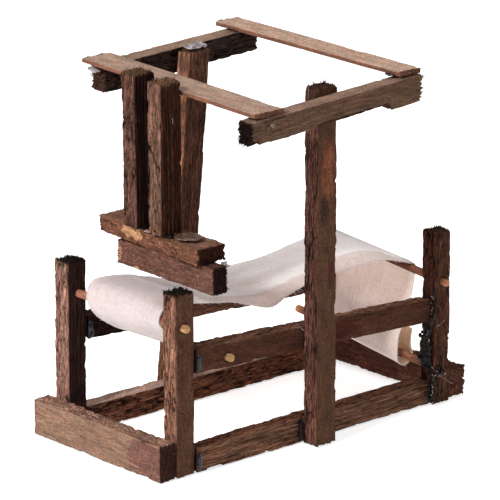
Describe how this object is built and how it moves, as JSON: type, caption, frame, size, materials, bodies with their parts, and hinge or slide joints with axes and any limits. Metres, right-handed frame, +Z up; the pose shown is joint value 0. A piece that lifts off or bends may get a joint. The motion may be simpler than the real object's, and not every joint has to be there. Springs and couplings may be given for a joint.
{
  "type": "tapestry frame loom",
  "caption": "Rustic miniature frame loom of rough glued sticks with a high top frame, a fixed batten, turning rods and a strip of gauze cloth.",
  "frame": {"origin": "middle of the floor under the whole loom", "axes": "+X from the cloth-roll (weaver) end to the warp end, +Y from the near side to the far side, +Z up"},
  "size_m": [0.1178, 0.0798, 0.1075],
  "materials": {
    "rough_wood": "rough sawn and split, dark walnut stain, matte",
    "beam_wood": "sawn, dark stain, matte",
    "slat_wood": "fine grained, light walnut stain, matte",
    "rod_wood": "smooth turned stick, stained, pale cut ends",
    "gauze": "plain weave off-white cotton gauze with raw edges",
    "hot_glue": "set hot glue, glossy and milky clear"
  },
  "bodies": {
    "root": {"end_sill_weaver": "rough_wood", "end_sill_warp": "rough_wood", "base_rail_near": "rough_wood", "base_rail_far": "rough_wood", "corner_post_weaver_near": "rough_wood", "corner_post_weaver_far": "rough_wood", "corner_post_warp_near": "rough_wood", "corner_post_warp_far": "rough_wood", "mid_rail_near": "rough_wood", "mid_rail_far": "rough_wood", "tall_post_near": "rough_wood", "tall_post_far": "rough_wood", "batten_upright_near": "rough_wood", "batten_upright_far": "rough_wood", "batten_bar": "rough_wood", "batten_lower_bar": "rough_wood", "top_beam_near": "beam_wood", "top_beam_far": "beam_wood", "top_slat_weaver": "slat_wood", "top_slat_warp": "slat_wood", "cloth_strip": "gauze", "glue_weaver_far_mid": "hot_glue", "glue_weaver_near_mid": "hot_glue", "glue_weaver_near_base": "hot_glue", "glue_tall_near_base": "hot_glue", "glue_warp_near_side": "hot_glue", "glue_warp_near_foot": "hot_glue", "glue_tall_far_top": "hot_glue", "glue_slat_weaver_near": "hot_glue", "glue_slat_weaver_far": "hot_glue", "glue_slat_warp_near": "hot_glue", "glue_batten_heads": "hot_glue", "glue_batten_foot": "hot_glue", "glue_batten_puddle": "hot_glue", "glue_batten_bars": "hot_glue"},
    "breast_rod": {"breast_rod": "rod_wood"},
    "cloth_rod": {"cloth_rod": "rod_wood"},
    "back_rod": {"back_rod": "rod_wood"},
    "warp_rod": {"warp_rod": "rod_wood"}
  },
  "joints": [
    {"name": "breast_rod_turn", "type": "hinge", "parent": "root", "child": "breast_rod", "pos_m": [-0.04969, 0.00087, 0.04247], "axis": [0.0266, 0.9994, -0.0204], "continuous": true},
    {"name": "cloth_rod_turn", "type": "hinge", "parent": "root", "child": "cloth_rod", "pos_m": [-0.03474, 0.00052, 0.03095], "axis": [-0.0107, 0.9997, -0.0196], "range_deg": [-30, 30]},
    {"name": "back_rod_turn", "type": "hinge", "parent": "root", "child": "back_rod", "pos_m": [0.04751, 0.00042, 0.03965], "axis": [-0.0017, 0.9956, 0.0938], "continuous": true},
    {"name": "warp_rod_turn", "type": "hinge", "parent": "root", "child": "warp_rod", "pos_m": [0.04586, 0.00312, 0.0131], "axis": [-0.0066, 0.9971, 0.0762], "range_deg": [-30, 30]}
  ]
}
